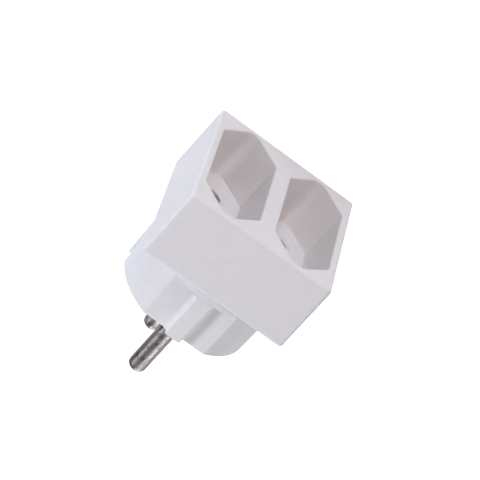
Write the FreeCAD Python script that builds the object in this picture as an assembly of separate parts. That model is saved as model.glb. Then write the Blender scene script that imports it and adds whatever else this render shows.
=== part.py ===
# Two-way wall socket adapter with two flat-plug wells and a round contour plug.
# Millimetres. X runs across both wells, Y runs from the wells towards the plug pins, Z runs up.
# The origin lies in the middle of the plug's end face, between the two pins.
import FreeCAD, Part
import math
import os

os.makedirs("parts", exist_ok=True)

# Hexagonal wells for flat two-pin plugs
WELL_HALF_WIDTH = 7.9
WELL_HOLE_MARGIN = 3.15
WELL_SHOULDER = 8.05
WELL_POINT_RADIUS = 3.0
WELL_SIDE_RADIUS = 0.9
WELL_RIM_RADIUS = 0.5
WELL_DEPTH = 15.2
WELL_WALL = 1.1
WELL_WEB = 4.5

# Box around the wells
BOX_SIDE_MARGIN = 2.2
BOX_END_MARGIN = 1.68
SIDE_DRAFT = 0.2
BOX_CORNER_RADIUS = 0.9
BOX_FRONT_RADIUS = 0.8
BOX_BACK_RADIUS = 0.95
BOX_WALL = 1.9
BOX_FRONT_WALL = 2.0

# Plate with the pin holes, which closes the wells from behind
PAD_HEIGHT = 0.8
PAD_CLEARANCE = 0.05
COVER_PLATE = 1.0
COVER_MARGIN = 0.4
HOLE_RADIUS = 2.5
FUNNEL_FLARE = 0.9
FUNNEL_DEPTH = 0.9

# Pins and holes share one spacing
PIN_SPACING = 19.0
PIN_RADIUS = 2.4
PIN_LENGTH = 19.0
PIN_TIP_RADIUS = 1.8
PIN_SEAT_RADIUS = 2.6
PIN_COLLAR_RADIUS = 3.3
PIN_COLLAR_LENGTH = 2.0
PIN_TAIL_RADIUS = 1.6
PIN_HEAD_RADIUS = 2.3
PIN_HEAD_LENGTH = 0.6

# Round plug body
PLUG_LENGTH = 17.5
PLUG_TAPER = 0.3
PLUG_RIM_RADIUS = 0.4
FLANGE_LENGTH = 3.3
FLAT_DEPTH_AT_FLANGE = 2.35
FLAT_DEPTH_AT_END = 2.3
RIB_WIDTH = 4.4
RIB_EDGE_RADIUS = 0.4
RIB_FOOT_RADIUS = 1.2
NOTCH_DEPTH = 1.3
NOTCH_WIDTH = 4.4
NOTCH_LENGTH = 6.5
NOTCH_END_RADIUS = 2.0
PLUG_WALL = 1.7
PLUG_FLAT_WALL = 1.8
PLUG_END_WALL = 2.2
PIN_BOSS_WALL = 1.0
PIN_BOSS_LENGTH = 4.0
PIN_BOSS_CLEARANCE = 0.1

# Back plate of the plug moulding, let into the box
BACK_PLATE = 1.8
BACK_PLATE_CLEARANCE = 0.1
BACK_PLATE_CORNER = 1.0

# Fixing screw through the middle of the plug
SCREW_HEAD_RADIUS = 2.6
SCREW_HEAD_LENGTH = 1.7
SCREW_SHANK_RADIUS = 1.3
SCREW_GRIP = 6.0
SCREW_CROSS_WIDTH = 0.8
SCREW_CROSS_LENGTH = 3.2
SCREW_CROSS_DEPTH = 1.0
SCREW_SINK = 0.8
SCREW_WELL_CLEARANCE = 0.3
SCREW_COLUMN_WALL = 1.2
SCREW_PLAY = 0.2

# Brass contacts
STRIP_FRONT_PLAY = 0.1
STRIP_THICKNESS = 0.8
STRIP_BACK_PLAY = 0.3
STRIP_WIDTH = 7.4
STRIP_END_RADIUS = 3.6
STRIP_HOLE_RADIUS = 2.3
SLEEVE_RADIUS = 2.55
SLEEVE_BORE_RADIUS = 2.05
SLEEVE_LENGTH = 10.0
SLEEVE_SLOT_WIDTH = 0.8
SLEEVE_SLOT_START = 2.2
SLEEVE_PLAY = 0.1
SLEEVE_FLANGE_RADIUS = 2.9
SLEEVE_FLANGE_THICKNESS = 0.6
SLEEVE_TAB_WIDTH = 4.0
RIVET_OFFSET = 5.0
RIVET_RADIUS = 0.9
RIVET_HEAD_RADIUS = 1.6
RIVET_HEAD_HEIGHT = 0.45

# Sizes that follow from the ones above
WELL_SPACING = 2 * WELL_HALF_WIDTH + WELL_WEB
WELL_STRAIGHT_HALF = PIN_SPACING / 2 + WELL_HOLE_MARGIN
WELL_POINT_HALF = WELL_STRAIGHT_HALF + WELL_SHOULDER
WELL_POINT_SINE = WELL_HALF_WIDTH / math.hypot(WELL_HALF_WIDTH, WELL_SHOULDER)
WELL_TIP_HALF = WELL_POINT_HALF - WELL_POINT_RADIUS * (1 / WELL_POINT_SINE - 1)
BOX_WIDTH = WELL_SPACING + 2 * (WELL_HALF_WIDTH + BOX_SIDE_MARGIN)
BOX_HEIGHT = 2 * (WELL_TIP_HALF + BOX_END_MARGIN)
FUNNEL_RADIUS = HOLE_RADIUS + FUNNEL_FLARE
PIN_BOSS_RADIUS = PIN_COLLAR_RADIUS + PIN_BOSS_CLEARANCE + PIN_BOSS_WALL
SCREW_FREE_RADIUS = SCREW_SHANK_RADIUS + SCREW_PLAY

# The plug body closes round the four sleeves
SLEEVE_REACH = math.hypot(WELL_SPACING, PIN_SPACING) / 2 + SLEEVE_FLANGE_RADIUS
PLUG_BASE_RADIUS = SLEEVE_REACH + SLEEVE_PLAY + PLUG_WALL
PLUG_END_RADIUS = PLUG_BASE_RADIUS - PLUG_TAPER
FLAT_AT_FLANGE = PLUG_BASE_RADIUS - FLAT_DEPTH_AT_FLANGE
FLAT_AT_END = PLUG_END_RADIUS - FLAT_DEPTH_AT_END
NOTCH_FLOOR = PLUG_END_RADIUS - NOTCH_DEPTH

# Layers from the plug's end face back to the front of the box
BACK_Y = -PLUG_LENGTH
PLATE_Y = BACK_Y - BACK_PLATE
STRIP_BACK_Y = PLATE_Y - STRIP_BACK_PLAY
STRIP_Y = STRIP_BACK_Y - STRIP_THICKNESS
COVER_BACK_Y = STRIP_Y - STRIP_FRONT_PLAY - PIN_HEAD_LENGTH
COVER_Y = COVER_BACK_Y - COVER_PLATE
FLOOR_Y = COVER_Y - PAD_HEIGHT
FRONT_Y = FLOOR_Y - WELL_DEPTH
BOX_DEPTH = BACK_Y - FRONT_Y
AXIS_Y = FreeCAD.Vector(0, 1, 0)

# Reach of cutting bodies past a face, and how closely a picked edge lies to its nominal place
OVERCUT = 1.0
CLOSE = 0.01
NEARBY = 0.3


def point(x, y, z):
    return FreeCAD.Vector(x, y, z)


def mirrored(points):
    """Completes the outline of one quarter, listed from the side to the top, to all four."""
    upper = points + [(-x, z) for x, z in reversed(points) if x > 0]
    return upper + [(x, -z) for x, z in reversed(upper)]


def rounded_outline(points, radii, y, middle_x=0.0):
    """Wire in the plane of the given Y through the corner points, each corner rounded."""
    count = len(points)
    corners = []
    for index in range(count):
        here = point(points[index][0] + middle_x, y, points[index][1])
        before = point(points[index - 1][0] + middle_x, y, points[index - 1][1])
        after = point(points[(index + 1) % count][0] + middle_x, y, points[(index + 1) % count][1])
        back = (before - here).normalize()
        ahead = (after - here).normalize()
        half_angle = back.getAngle(ahead) / 2
        middle = (back + ahead).normalize()
        reach = radii[index] / math.tan(half_angle)
        centre = here + middle * (radii[index] / math.sin(half_angle))
        corners.append((here + back * reach, centre - middle * radii[index], here + ahead * reach))
    edges = []
    for index in range(count):
        start, bulge, end = corners[index]
        edges.append(Part.Arc(start, bulge, end).toShape())
        edges.append(Part.makeLine(end, corners[(index + 1) % count][0]))
    return Part.Wire(edges)


def box_outline(half_width, half_height, corner, y):
    points = mirrored([(half_width, half_height)])
    return rounded_outline(points, [corner] * len(points), y)


def well_outline(grow, y, middle_x):
    """Hexagon of a well, grown by the given amount, with its two points up and down."""
    normal_z = WELL_POINT_SINE
    normal_x = WELL_SHOULDER / math.hypot(WELL_HALF_WIDTH, WELL_SHOULDER)
    offset = normal_z * WELL_POINT_HALF + grow
    half_width = WELL_HALF_WIDTH + grow
    straight_half = (offset - normal_x * half_width) / normal_z
    points = mirrored([(half_width, straight_half), (0.0, offset / normal_z)])
    side_radius = WELL_SIDE_RADIUS + max(grow, 0.0)
    point_radius = WELL_POINT_RADIUS + max(grow, 0.0)
    radii = [point_radius if abs(x) < half_width / 2 else side_radius for x, z in points]
    return rounded_outline(points, radii, y, middle_x)


def prism(wire, length):
    return Part.Face(wire).extrude(point(0, length, 0))


def rod(x, y, z, radius, length):
    return Part.makeCylinder(radius, length, point(x, y, z), AXIS_Y)


def block(x0, x1, y0, y1, z0, z1):
    return Part.makeBox(x1 - x0, y1 - y0, z1 - z0, point(x0, y0, z0))


def edges_at(shape, y, limit_x=BOX_WIDTH, limit_z=BOX_HEIGHT):
    """Edges of the shape in the plane of the given Y that stay within the X and Z limits."""
    found = []
    for edge in shape.Edges:
        bounds = edge.BoundBox
        in_plane = abs(bounds.YMin - y) < CLOSE and abs(bounds.YMax - y) < CLOSE
        reach_x = max(abs(bounds.XMin), abs(bounds.XMax))
        reach_z = max(abs(bounds.ZMin), abs(bounds.ZMax))
        if in_plane and reach_x < limit_x and reach_z < limit_z:
            found.append(edge)
    return found


def inner_half_width(y):
    return BOX_WIDTH / 2 - BOX_WALL + SIDE_DRAFT * (y - FRONT_Y) / BOX_DEPTH


def inner_half_height(y):
    return BOX_HEIGHT / 2 - BOX_WALL + SIDE_DRAFT * (y - FRONT_Y) / BOX_DEPTH


def outer_box():
    """Box with slightly drafted sides and rounded edges."""
    front = box_outline(BOX_WIDTH / 2, BOX_HEIGHT / 2, BOX_CORNER_RADIUS, FRONT_Y)
    back = box_outline(BOX_WIDTH / 2 + SIDE_DRAFT, BOX_HEIGHT / 2 + SIDE_DRAFT, BOX_CORNER_RADIUS, BACK_Y)
    body = Part.makeLoft([front, back], True, True)
    body = body.makeFillet(BOX_FRONT_RADIUS, edges_at(body, FRONT_Y))
    return body.makeFillet(BOX_BACK_RADIUS, edges_at(body, BACK_Y))


def box_cavity():
    """Room inside the box, open at the back where the plug moulding is let in."""
    start = FRONT_Y + BOX_FRONT_WALL
    front = box_outline(inner_half_width(start), inner_half_height(start), BACK_PLATE_CORNER, start)
    end = BACK_Y + OVERCUT
    back = box_outline(inner_half_width(end), inner_half_height(end), BACK_PLATE_CORNER, end)
    return Part.makeLoft([front, back], True, True)


def well_tubes():
    """Walls around both wells, still filled, with a web between them that takes the screw."""
    start = FRONT_Y + BOX_FRONT_WALL / 2
    length = COVER_Y - start
    web_half = WELL_SPACING / 2 - WELL_HALF_WIDTH
    tubes = block(-web_half, web_half, start, COVER_Y, -WELL_STRAIGHT_HALF, WELL_STRAIGHT_HALF)
    for side in (-1, 1):
        tubes = tubes.fuse(prism(well_outline(WELL_WALL, start, side * WELL_SPACING / 2), length))
    return tubes


def front_shell():
    """Box moulding with both wells, open at the back."""
    outer = outer_box()
    shell = outer.cut(box_cavity()).fuse(outer.common(well_tubes()))
    for side in (-1, 1):
        shell = shell.cut(prism(well_outline(0.0, FRONT_Y - OVERCUT, side * WELL_SPACING / 2), BOX_DEPTH))
    pilot_start = COVER_Y - SCREW_GRIP - OVERCUT
    shell = shell.cut(rod(0, pilot_start, 0, SCREW_SHANK_RADIUS, SCREW_GRIP + 2 * OVERCUT))
    shell = shell.removeSplitter()
    limit_x = WELL_SPACING / 2 + WELL_HALF_WIDTH + WELL_RIM_RADIUS
    rims = edges_at(shell, FRONT_Y, limit_x, WELL_POINT_HALF - WELL_RIM_RADIUS)
    return shell.makeFillet(WELL_RIM_RADIUS, rims)


def contact_cover():
    """Plate behind the wells; its two pads are the well floors and carry the funnel holes."""
    half_width = inner_half_width(COVER_Y) - COVER_MARGIN
    half_height = inner_half_height(COVER_Y) - COVER_MARGIN
    cover = prism(box_outline(half_width, half_height, BACK_PLATE_CORNER, COVER_Y), COVER_PLATE)
    for side in (-1, 1):
        middle = side * WELL_SPACING / 2
        cover = cover.fuse(prism(well_outline(-PAD_CLEARANCE, FLOOR_Y, middle), PAD_HEIGHT))
    for side in (-1, 1):
        for level in (-1, 1):
            x = side * WELL_SPACING / 2
            z = level * PIN_SPACING / 2
            cover = cover.cut(rod(x, FLOOR_Y - OVERCUT, z, HOLE_RADIUS, BOX_DEPTH))
            funnel = Part.makeCone(FUNNEL_RADIUS, HOLE_RADIUS, FUNNEL_DEPTH, point(x, FLOOR_Y, z), AXIS_Y)
            cover = cover.cut(funnel)
    cover = cover.cut(rod(0, COVER_Y - OVERCUT, 0, SCREW_FREE_RADIUS, BOX_DEPTH))
    return cover.removeSplitter()


def plug_radius(y):
    return PLUG_END_RADIUS + (PLUG_BASE_RADIUS - PLUG_END_RADIUS) * (-y) / PLUG_LENGTH


def flat_height(y):
    flange_end = -PLUG_LENGTH + FLANGE_LENGTH
    return FLAT_AT_END + (FLAT_AT_FLANGE - FLAT_AT_END) * y / flange_end


def pocket_tool(side, level):
    """Solid that planes one flat beside the rib; its foot and its inner end corner are rounded."""
    start = -PLUG_LENGTH + FLANGE_LENGTH
    near = RIB_WIDTH / 2
    far = PLUG_BASE_RADIUS
    high = PLUG_BASE_RADIUS + OVERCUT
    low_start = flat_height(start)
    low_end = flat_height(OVERCUT)
    faces = []
    for y, low in ((start, low_start), (OVERCUT, low_end)):
        corner = point(side * near, y, level * low)
        outer = point(side * far, y, level * low)
        top_outer = point(side * far, y, level * high)
        top_near = point(side * near, y, level * high)
        faces.append(Part.makePolygon([corner, outer, top_outer, top_near, corner]))
    tool = Part.makeLoft(faces, True, True)
    foot = []
    for edge in tool.Edges:
        bounds = edge.BoundBox
        beside = abs(abs(bounds.Center.x) - near) < CLOSE
        along_rib = bounds.YLength > PLUG_LENGTH / 2
        low_line = abs(abs(bounds.Center.z) - (low_start + low_end) / 2) < NEARBY
        across_end = abs(bounds.YMax - start) < CLOSE and bounds.ZLength > RIB_FOOT_RADIUS
        if beside and ((along_rib and low_line) or across_end):
            foot.append(edge)
    return tool.makeFillet(RIB_FOOT_RADIUS, foot)


def notch_tool(side):
    """Cut for a socket's side clip, open at the plug's end face, with a rounded inner end."""
    width = NOTCH_WIDTH / 2
    depth = PLUG_BASE_RADIUS + OVERCUT - NOTCH_FLOOR
    x0 = NOTCH_FLOOR if side > 0 else -NOTCH_FLOOR - depth
    tool = block(x0, x0 + depth, -NOTCH_LENGTH, OVERCUT, -width, width)
    inner = [edge for edge in tool.Edges
             if abs(edge.BoundBox.YMax + NOTCH_LENGTH) < CLOSE
             and abs(edge.BoundBox.Center.x - side * NOTCH_FLOOR) < CLOSE]
    return tool.makeFillet(NOTCH_END_RADIUS, inner)


def plug_outside():
    """Drafted round body with four flats that leave a rib above and below, and two clip notches."""
    body = Part.makeCone(PLUG_BASE_RADIUS, PLUG_END_RADIUS, PLUG_LENGTH, point(0, BACK_Y, 0), AXIS_Y)
    for side in (-1, 1):
        for level in (-1, 1):
            body = body.cut(pocket_tool(side, level))
        body = body.cut(notch_tool(side))
    ribs = []
    for edge in body.Edges:
        bounds = edge.BoundBox
        beside = abs(abs(bounds.Center.x) - RIB_WIDTH / 2) < NEARBY
        high = abs(bounds.Center.z) > (FLAT_AT_FLANGE + PLUG_END_RADIUS) / 2
        if beside and high and bounds.YLength > PLUG_LENGTH / 2:
            ribs.append(edge)
    body = body.makeFillet(RIB_EDGE_RADIUS, ribs)
    return body.makeFillet(PLUG_RIM_RADIUS, edges_at(body, 0.0))


def plug_hollow():
    """Room inside the plug body, open towards the box."""
    radius_back = plug_radius(PLATE_Y) - PLUG_WALL
    radius_front = plug_radius(-PLUG_END_WALL) - PLUG_WALL
    start = PLATE_Y - OVERCUT
    room = Part.makeCone(radius_back, radius_front, -PLUG_END_WALL - start, point(0, start, 0), AXIS_Y)
    keep = FLAT_AT_END - PLUG_FLAT_WALL
    reach = PLUG_BASE_RADIUS
    room = room.common(block(-reach, reach, start - OVERCUT, OVERCUT, -keep, keep))
    notch_keep = NOTCH_FLOOR - PLUG_WALL
    for side in (-1, 1):
        x0 = min(side * notch_keep, side * reach)
        wall = block(x0, x0 + reach - notch_keep, -NOTCH_LENGTH - PLUG_WALL, OVERCUT,
                     -NOTCH_WIDTH / 2 - PLUG_WALL, NOTCH_WIDTH / 2 + PLUG_WALL)
        room = room.cut(wall)
    return room


def rear_cover():
    """Plug body and back plate in one moulding, with bosses for the pins and a screw column."""
    half_width = inner_half_width(PLATE_Y) - BACK_PLATE_CLEARANCE
    half_height = inner_half_height(PLATE_Y) - BACK_PLATE_CLEARANCE
    plate = prism(box_outline(half_width, half_height, BACK_PLATE_CORNER, PLATE_Y), BACK_PLATE)
    cover = plate.fuse(plug_outside()).cut(plug_hollow())
    boss_start = -PLUG_END_WALL - PIN_BOSS_LENGTH
    column_radius = SCREW_FREE_RADIUS + SCREW_COLUMN_WALL
    cover = cover.fuse(rod(0, COVER_BACK_Y, 0, column_radius, -PLUG_END_WALL / 2 - COVER_BACK_Y))
    sunk = SCREW_SINK + SCREW_HEAD_LENGTH
    head_room = SCREW_HEAD_RADIUS + SCREW_WELL_CLEARANCE
    head_wall = rod(0, -sunk - PLUG_END_WALL, 0, head_room + SCREW_COLUMN_WALL, sunk + PLUG_END_WALL / 2)
    cover = cover.fuse(head_wall)
    for level in (-1, 1):
        z = level * PIN_SPACING / 2
        boss = rod(0, boss_start, z, PIN_BOSS_RADIUS, PIN_BOSS_LENGTH + PLUG_END_WALL / 2)
        cover = cover.fuse(boss)
    for level in (-1, 1):
        z = level * PIN_SPACING / 2
        cover = cover.cut(rod(0, boss_start - OVERCUT, z, PIN_COLLAR_RADIUS + PIN_BOSS_CLEARANCE,
                              PIN_BOSS_LENGTH + OVERCUT))
        cover = cover.cut(rod(0, -PLUG_END_WALL - OVERCUT, z, PIN_SEAT_RADIUS, PLUG_END_WALL + 2 * OVERCUT))
    cover = cover.cut(rod(0, -sunk, 0, head_room, sunk + OVERCUT))
    cover = cover.cut(rod(0, COVER_BACK_Y - OVERCUT, 0, SCREW_FREE_RADIUS, PLUG_LENGTH + BOX_DEPTH))
    return cover.removeSplitter()


def contact_pin(level):
    """Round nickel-plated pin with a seat in the end wall, a collar in its boss and a riveted tail."""
    z = level * PIN_SPACING / 2
    body = rod(0, 0, z, PIN_RADIUS, PIN_LENGTH)
    body = body.makeFillet(PIN_TIP_RADIUS, edges_at(body, PIN_LENGTH))
    seat = rod(0, -PLUG_END_WALL, z, PIN_SEAT_RADIUS, PLUG_END_WALL)
    collar = rod(0, -PLUG_END_WALL - PIN_COLLAR_LENGTH, z, PIN_COLLAR_RADIUS, PIN_COLLAR_LENGTH)
    tail_start = STRIP_Y - PIN_HEAD_LENGTH
    tail = rod(0, tail_start, z, PIN_TAIL_RADIUS, -PLUG_END_WALL - tail_start)
    head = rod(0, tail_start, z, PIN_HEAD_RADIUS, PIN_HEAD_LENGTH)
    head = head.makeFillet(PIN_HEAD_LENGTH / 2, edges_at(head, tail_start))
    shoulder = rod(0, STRIP_BACK_Y, z, PIN_HEAD_RADIUS, PIN_HEAD_LENGTH)
    return body.fuse([seat, collar, tail, head, shoulder]).removeSplitter()


def contact_strip(level):
    """Brass strip that joins the pin to the contact sleeves of both wells."""
    z = level * PIN_SPACING / 2
    end = WELL_SPACING / 2
    cut_start = STRIP_Y - OVERCUT
    cut_length = STRIP_THICKNESS + 2 * OVERCUT
    strip = block(-end, end, STRIP_Y, STRIP_BACK_Y, z - STRIP_WIDTH / 2, z + STRIP_WIDTH / 2)
    for side in (-1, 1):
        strip = strip.fuse(rod(side * end, STRIP_Y, z, STRIP_END_RADIUS, STRIP_THICKNESS))
    for side in (-1, 1):
        strip = strip.cut(rod(side * end, cut_start, z, STRIP_HOLE_RADIUS, cut_length))
        strip = strip.cut(rod(side * RIVET_OFFSET, cut_start, z, RIVET_RADIUS, cut_length))
    strip = strip.cut(rod(0, cut_start, z, PIN_TAIL_RADIUS, cut_length))
    return strip.removeSplitter()


def contact_sleeve(side, level):
    """Split sleeve that grips a flat plug's pin, with a flange and a riveted tab."""
    x = side * WELL_SPACING / 2
    z = level * PIN_SPACING / 2
    sleeve = rod(x, STRIP_BACK_Y, z, SLEEVE_RADIUS, SLEEVE_LENGTH)
    sleeve = sleeve.fuse(rod(x, STRIP_BACK_Y, z, SLEEVE_FLANGE_RADIUS, SLEEVE_FLANGE_THICKNESS))
    tab_end = side * RIVET_OFFSET
    flange_top = STRIP_BACK_Y + SLEEVE_FLANGE_THICKNESS
    half_tab = SLEEVE_TAB_WIDTH / 2
    tab = block(min(x, tab_end), max(x, tab_end), STRIP_BACK_Y, flange_top, z - half_tab, z + half_tab)
    sleeve = sleeve.fuse([tab, rod(tab_end, STRIP_BACK_Y, z, half_tab, SLEEVE_FLANGE_THICKNESS)])
    sleeve = sleeve.cut(rod(x, STRIP_BACK_Y - OVERCUT, z, SLEEVE_BORE_RADIUS, SLEEVE_LENGTH + 2 * OVERCUT))
    sleeve = sleeve.cut(rod(tab_end, STRIP_BACK_Y - OVERCUT, z, RIVET_RADIUS, 2 * OVERCUT))
    slot_start = STRIP_BACK_Y + SLEEVE_SLOT_START
    slot = block(x - SLEEVE_RADIUS - OVERCUT, x + SLEEVE_RADIUS + OVERCUT, slot_start,
                 slot_start + SLEEVE_LENGTH, z - SLEEVE_SLOT_WIDTH / 2, z + SLEEVE_SLOT_WIDTH / 2)
    return sleeve.cut(slot).removeSplitter()


def rivets():
    """Four rivets, one in each sleeve tab."""
    solids = []
    for side in (-1, 1):
        for level in (-1, 1):
            x = side * RIVET_OFFSET
            z = level * PIN_SPACING / 2
            top = STRIP_BACK_Y + SLEEVE_FLANGE_THICKNESS
            shank = rod(x, STRIP_Y, z, RIVET_RADIUS, top - STRIP_Y)
            lower = rod(x, STRIP_Y - RIVET_HEAD_HEIGHT, z, RIVET_HEAD_RADIUS, RIVET_HEAD_HEIGHT)
            lower = lower.makeFillet(RIVET_HEAD_HEIGHT / 2, edges_at(lower, STRIP_Y - RIVET_HEAD_HEIGHT))
            upper = rod(x, top, z, RIVET_HEAD_RADIUS, RIVET_HEAD_HEIGHT)
            upper = upper.makeFillet(RIVET_HEAD_HEIGHT / 2, edges_at(upper, top + RIVET_HEAD_HEIGHT))
            solids.append(shank.fuse([lower, upper]).removeSplitter())
    return Part.makeCompound(solids)


def housing_screw():
    """Screw that draws the plug moulding onto the box, sunk between the pins."""
    head_top = -SCREW_SINK
    head_base = head_top - SCREW_HEAD_LENGTH
    head = rod(0, head_base, 0, SCREW_HEAD_RADIUS, SCREW_HEAD_LENGTH)
    head = head.makeFillet(SCREW_HEAD_LENGTH / 2, edges_at(head, head_top))
    shank_start = COVER_Y - SCREW_GRIP
    shank = rod(0, shank_start, 0, SCREW_SHANK_RADIUS, head_base - shank_start)
    shank = shank.makeChamfer(SCREW_SHANK_RADIUS / 2, edges_at(shank, shank_start))
    screw = head.fuse(shank)
    cross_start = head_top - SCREW_CROSS_DEPTH
    half_length = SCREW_CROSS_LENGTH / 2
    half_width = SCREW_CROSS_WIDTH / 2
    for long_x, long_z in ((half_length, half_width), (half_width, half_length)):
        screw = screw.cut(block(-long_x, long_x, cross_start, head_top + OVERCUT, -long_z, long_z))
    return screw.removeSplitter()


def save(name, shape):
    shape.exportStep("parts/" + name + ".step")
    print(name, "solids", len(shape.Solids), "volume", round(shape.Volume, 1), "valid", shape.isValid())


save("front_shell", front_shell())
save("contact_cover", contact_cover())
save("rear_cover", rear_cover())
save("pin_upper", contact_pin(1))
save("pin_lower", contact_pin(-1))
save("strip_upper", contact_strip(1))
save("strip_lower", contact_strip(-1))
for side_name, side_sign in (("left", -1), ("right", 1)):
    for level_name, level_sign in (("upper", 1), ("lower", -1)):
        save("sleeve_" + level_name + "_" + side_name, contact_sleeve(side_sign, level_sign))
save("rivets", rivets())
save("housing_screw", housing_screw())
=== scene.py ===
# %% [markdown]
# This notebook dresses a small household adapter: a white moulded box with two hexagonal wells
# for flat plugs, on a round plug body with two nickel pins. The exact model comes in as a fixed
# frame. The scene adds what the eye judges: rounded edges, moulded surfaces, metals and light.

# %% Load the frame
import math

import bmesh
import bpy
from mathutils import Matrix, Vector


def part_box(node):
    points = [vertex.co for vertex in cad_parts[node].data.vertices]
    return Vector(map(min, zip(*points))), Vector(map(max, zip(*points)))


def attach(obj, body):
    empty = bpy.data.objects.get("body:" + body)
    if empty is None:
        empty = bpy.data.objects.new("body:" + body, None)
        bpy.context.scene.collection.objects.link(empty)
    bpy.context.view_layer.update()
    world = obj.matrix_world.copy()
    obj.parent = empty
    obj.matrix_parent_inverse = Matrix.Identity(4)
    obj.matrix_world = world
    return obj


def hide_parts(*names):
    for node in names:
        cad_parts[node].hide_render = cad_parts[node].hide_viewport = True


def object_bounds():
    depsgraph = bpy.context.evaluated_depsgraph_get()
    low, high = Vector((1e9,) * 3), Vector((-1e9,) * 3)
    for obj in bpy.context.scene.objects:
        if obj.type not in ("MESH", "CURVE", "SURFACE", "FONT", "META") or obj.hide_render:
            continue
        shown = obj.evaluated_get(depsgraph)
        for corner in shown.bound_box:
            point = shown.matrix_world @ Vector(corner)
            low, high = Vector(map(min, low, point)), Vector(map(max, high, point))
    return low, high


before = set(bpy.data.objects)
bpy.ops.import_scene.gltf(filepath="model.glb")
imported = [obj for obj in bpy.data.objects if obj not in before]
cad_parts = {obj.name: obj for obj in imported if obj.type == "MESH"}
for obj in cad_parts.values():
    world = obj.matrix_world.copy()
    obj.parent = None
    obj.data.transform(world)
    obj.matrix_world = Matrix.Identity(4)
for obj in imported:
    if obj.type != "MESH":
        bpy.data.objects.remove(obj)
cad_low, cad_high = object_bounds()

print("nodes", sorted(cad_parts))

# %% [markdown]
# Sizes are written in millimetres, as a mould maker would, and every mesh is scaled to metres
# when it is made. X runs across both wells, Y from the wells to the pins, Z along the wells. The
# box sizes are read from the frame, so the dressed pieces always meet the exact ones.

# %% Shared sizes
MM = 0.001


def node_box(name):
    """Lowest and highest corner of a node in millimetres."""
    low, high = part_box(name)
    return low / MM, high / MM


shell_low, shell_high = node_box("front_shell")
cover_low, cover_high = node_box("contact_cover")
FRONT_Y = shell_low.y
BACK_Y = shell_high.y
FLOOR_Y = cover_low.y
COVER_BACK_Y = cover_high.y
PAD_HEIGHT = 0.8
COVER_Y = FLOOR_Y + PAD_HEIGHT
SIDE_DRAFT = 0.2
BOX_HALF_X = shell_high.x - SIDE_DRAFT
BOX_HALF_Z = shell_high.z - SIDE_DRAFT
BOX_WALL = 1.9
WELL_X = 10.15
PIN_Z = 9.5
print("box", round(BOX_HALF_X * 2, 2), "x", round(BOX_HALF_Z * 2, 2), "front", round(FRONT_Y, 2))

# %% [markdown]
# Moulded parts have no sharp edges: each edge is a small quarter circle that catches a line of
# light. A bevel modifier could add them, but it slips where a cone meets a plane. Here every
# surface is lofted through outlines of points, and each rounding is a few of them on a true arc.

# %% Outlines
def on_circle(radius, angle):
    return radius * math.cos(angle), radius * math.sin(angle)


def circle_ring(x, z, radius, count):
    """Round outline, counter-clockwise."""
    angles = [2 * math.pi * index / count for index in range(count)]
    return [(x + radius * math.cos(a), z + radius * math.sin(a)) for a in angles]


def rounded_ring(corners, radii, steps, centre_x=0.0):
    """Outline through the corner points with an arc of steps + 1 points at each corner."""
    ring = []
    count = len(corners)
    for index in range(count):
        here = Vector(corners[index])
        back = (Vector(corners[index - 1]) - here).normalized()
        ahead = (Vector(corners[(index + 1) % count]) - here).normalized()
        half_angle = back.angle(ahead) / 2
        radius = radii[index]
        middle = (back + ahead).normalized()
        centre = here + middle * (radius / math.sin(half_angle))
        first = here + back * (radius / math.tan(half_angle)) - centre
        last = here + ahead * (radius / math.tan(half_angle)) - centre
        start = math.atan2(first.y, first.x)
        turn = math.atan2(first.x * last.y - first.y * last.x, first.dot(last))
        for step in range(steps[index] + 1):
            x, z = on_circle(radius, start + turn * step / steps[index])
            ring.append((centre.x + x + centre_x, centre.y + z))
    return ring


def quarter(radius, steps):
    """Pairs (inset, rise) of a quarter round, from the flat face (0 rise) to the side (0 inset)."""
    angles = [math.pi / 2 * step / steps for step in range(steps + 1)]
    return [(radius * (1 - math.sin(a)), radius * (1 - math.cos(a))) for a in angles]


# %% [markdown]
# An outline becomes one closed row of vertices. Walls are quads between a row and the next, and
# flat faces are filled between an outer row and the rows of its holes. Each vertex also keeps a
# number called edge, which later tells the plastic where handling has rubbed it.

# %% Rows and faces
def new_bmesh():
    bm = bmesh.new()
    bm.verts.layers.float.new("edge")
    return bm


def add_ring(bm, ring, y, edge=0.0):
    """One closed row of vertices in the plane of y; edge marks how much handling it sees."""
    layer = bm.verts.layers.float["edge"]
    row = []
    for x, z in ring:
        vert = bm.verts.new((x * MM, y * MM, z * MM))
        vert[layer] = edge
        row.append(vert)
    return row


def bridge(bm, rows):
    """Quads between each row and the next."""
    for lower, upper in zip(rows, rows[1:]):
        count = len(lower)
        for index in range(count):
            after = (index + 1) % count
            face = bm.faces.new((lower[index], lower[after], upper[after], upper[index]))
            face.smooth = True


def fill(bm, rows):
    """Flat faces between an outer row and the rows of its holes, all in one plane."""
    edges = []
    for row in rows:
        for index, vert in enumerate(row):
            other = row[(index + 1) % len(row)]
            edges.append(bm.edges.get((vert, other)) or bm.edges.new((vert, other)))
    made = bmesh.ops.triangle_fill(bm, use_beauty=True, use_dissolve=False, edges=edges)
    for face in made["geom"]:
        if isinstance(face, bmesh.types.BMFace):
            face.smooth = True


def sunk_row(bm, x, z, y, profile, count):
    """Round recess in a face that looks along +Y, from (radius, depth) pairs; returns its rim."""
    rows = [add_ring(bm, circle_ring(x, z, radius, count), y - depth) for radius, depth in profile]
    bridge(bm, rows)
    fill(bm, [rows[-1]])
    return rows[0]


# %% [markdown]
# Every piece has to be closed, with its faces turned outwards, so the number of open edges is
# printed. Smooth shading alone would smear the light of a rounding over the flat face beside it.
# A weighted normals modifier lets the large faces decide instead, and adds no vertices.

# %% Finished objects
MERGE_DISTANCE = 1e-7
FACE_WEIGHT = 100


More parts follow.
